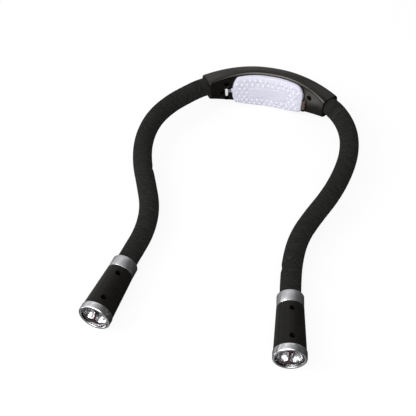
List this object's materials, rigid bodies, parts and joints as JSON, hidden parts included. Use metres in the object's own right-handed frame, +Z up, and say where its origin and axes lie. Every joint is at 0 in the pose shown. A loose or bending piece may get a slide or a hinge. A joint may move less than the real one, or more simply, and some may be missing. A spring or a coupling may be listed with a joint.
{
  "type": "neck reading light",
  "caption": "Wearable reading light: a crescent neckpiece with a gel pad carries two bendable foam-sleeved arms, each ending in a small aimable lamp head.",
  "frame": {"origin": "middle of the neckpiece's flat underside", "axes": "+X to the right in the view from the front, +Y towards the back of the neckpiece, +Z up; the arms run forwards to -Y"},
  "size_m": [0.1982, 0.3091, 0.0357],
  "materials": {
    "shell_plastic": "glossy black",
    "foam": "matt black closed-cell foam sleeve",
    "gel": "pale lavender translucent gel",
    "barrel_plastic": "semi-gloss black",
    "satin_aluminium": "satin",
    "polished_aluminium": "polished",
    "chromed_plastic": "vacuum-chromed plastic",
    "lens_plastic": "clear",
    "steel": "plain",
    "brass": "turned",
    "board": "green circuit board",
    "black_plastic": "matt black",
    "cell_sleeve": "plain printed sleeve without lettering"
  },
  "bodies": {
    "neckpiece": {"outer_shell": "shell_plastic", "inner_shell": "shell_plastic", "circuit_board": "board", "switch_left": "black_plastic", "switch_right": "black_plastic", "cell_lower": "cell_sleeve", "cell_upper": "cell_sleeve", "contact_left": "steel", "contact_right": "steel", "door_hinge_pin": "steel", "latch_spring": "steel", "housing_screw_right": "steel", "housing_screw_upper": "steel", "housing_screw_lower": "steel", "arm_anchor_left": "brass", "arm_anchor_right": "brass", "left_flex_shoulder": "foam", "right_flex_shoulder": "foam"},
    "door": {"battery_door": "shell_plastic", "neck_pad": "gel"},
    "latch": {"door_latch": "satin_aluminium"},
    "left_push_button": {"button_left": "black_plastic"},
    "right_push_button": {"button_right": "black_plastic"},
    "left_upper_arm": {"left_sleeve_upper": "foam", "left_core_upper": "steel", "left_flex_raise": "foam"},
    "left_middle_arm": {"left_sleeve_middle": "foam", "left_core_middle": "steel", "left_flex_elbow": "foam"},
    "left_forearm": {"left_sleeve_fore": "foam", "left_core_fore": "steel", "left_flex_wrist": "foam"},
    "left_head": {"left_ring_collar": "satin_aluminium", "left_barrel_upper": "barrel_plastic", "left_barrel_lower": "barrel_plastic", "left_barrel_screw_rear": "steel", "left_barrel_screw_front": "steel", "left_bezel": "polished_aluminium", "left_lens": "lens_plastic", "left_reflector": "chromed_plastic", "left_led_board": "board"},
    "right_upper_arm": {"right_sleeve_upper": "foam", "right_core_upper": "steel", "right_flex_raise": "foam"},
    "right_middle_arm": {"right_sleeve_middle": "foam", "right_core_middle": "steel", "right_flex_elbow": "foam"},
    "right_forearm": {"right_sleeve_fore": "foam", "right_core_fore": "steel", "right_flex_wrist": "foam"},
    "right_head": {"right_ring_collar": "satin_aluminium", "right_barrel_upper": "barrel_plastic", "right_barrel_lower": "barrel_plastic", "right_barrel_screw_rear": "steel", "right_barrel_screw_front": "steel", "right_bezel": "polished_aluminium", "right_lens": "lens_plastic", "right_reflector": "chromed_plastic", "right_led_board": "board"}
  },
  "joints": [
    {"name": "door_hinge", "type": "hinge", "parent": "neckpiece", "child": "door", "pos_m": [0.03441, -0.01821, 0.01308], "axis": [0.0353, 0.0809, 0.9961], "range_deg": [0, 100]},
    {"name": "latch_slide", "type": "slide", "parent": "neckpiece", "child": "latch", "axis": [-0.8882, -0.4594, 0], "range_m": [0, 0.0032], "stiffness_N_per_m": 200, "springref_m": -0.002, "deforming": ["latch_spring"]},
    {"name": "left_button_press", "type": "slide", "parent": "neckpiece", "child": "left_push_button", "axis": [0.3665, -0.9304, 0], "range_m": [0, 0.0008], "stiffness_N_per_m": 400},
    {"name": "right_button_press", "type": "slide", "parent": "neckpiece", "child": "right_push_button", "axis": [-0.3665, -0.9304, 0], "range_m": [0, 0.0008], "stiffness_N_per_m": 400},
    {"name": "left_shoulder_swing", "type": "hinge", "parent": "neckpiece", "child": "left_upper_arm", "pos_m": [-0.0643, -0.02461, 0.01998], "axis": [0, 0, 1], "range_deg": [-55, 20], "deforming": ["left_flex_shoulder"]},
    {"name": "left_raise", "type": "hinge", "parent": "left_upper_arm", "child": "left_middle_arm", "pos_m": [-0.09447, -0.07338, 0.01874], "axis": [-0.9706, 0.2406, 0], "range_deg": [-30, 75], "deforming": ["left_flex_raise"]},
    {"name": "left_elbow_swing", "type": "hinge", "parent": "left_middle_arm", "child": "left_forearm", "pos_m": [-0.08805, -0.13405, 0.01621], "axis": [0, 0, 1], "range_deg": [-55, 40], "deforming": ["left_flex_elbow"]},
    {"name": "left_wrist_tilt", "type": "hinge", "parent": "left_forearm", "child": "left_head", "pos_m": [-0.0712, -0.23199, 0.01322], "axis": [-0.9895, 0.1443, 0], "range_deg": [-45, 60], "deforming": ["left_flex_wrist"]},
    {"name": "right_shoulder_swing", "type": "hinge", "parent": "neckpiece", "child": "right_upper_arm", "pos_m": [0.06426, -0.02466, 0.01998], "axis": [0, 0, 1], "range_deg": [-20, 55], "deforming": ["right_flex_shoulder"]},
    {"name": "right_raise", "type": "hinge", "parent": "right_upper_arm", "child": "right_middle_arm", "pos_m": [0.08465, -0.07745, 0.0187], "axis": [-0.9997, -0.0234, 0], "range_deg": [-30, 75], "deforming": ["right_flex_raise"]},
    {"name": "right_elbow_swing", "type": "hinge", "parent": "right_middle_arm", "child": "right_forearm", "pos_m": [0.07299, -0.138, 0.01612], "axis": [0, 0, 1], "range_deg": [-40, 55], "deforming": ["right_flex_elbow"]},
    {"name": "right_wrist_tilt", "type": "hinge", "parent": "right_forearm", "child": "right_head", "pos_m": [0.06133, -0.23342, 0.01322], "axis": [-0.9874, -0.1581, 0], "range_deg": [-45, 60], "deforming": ["right_flex_wrist"]}
  ]
}
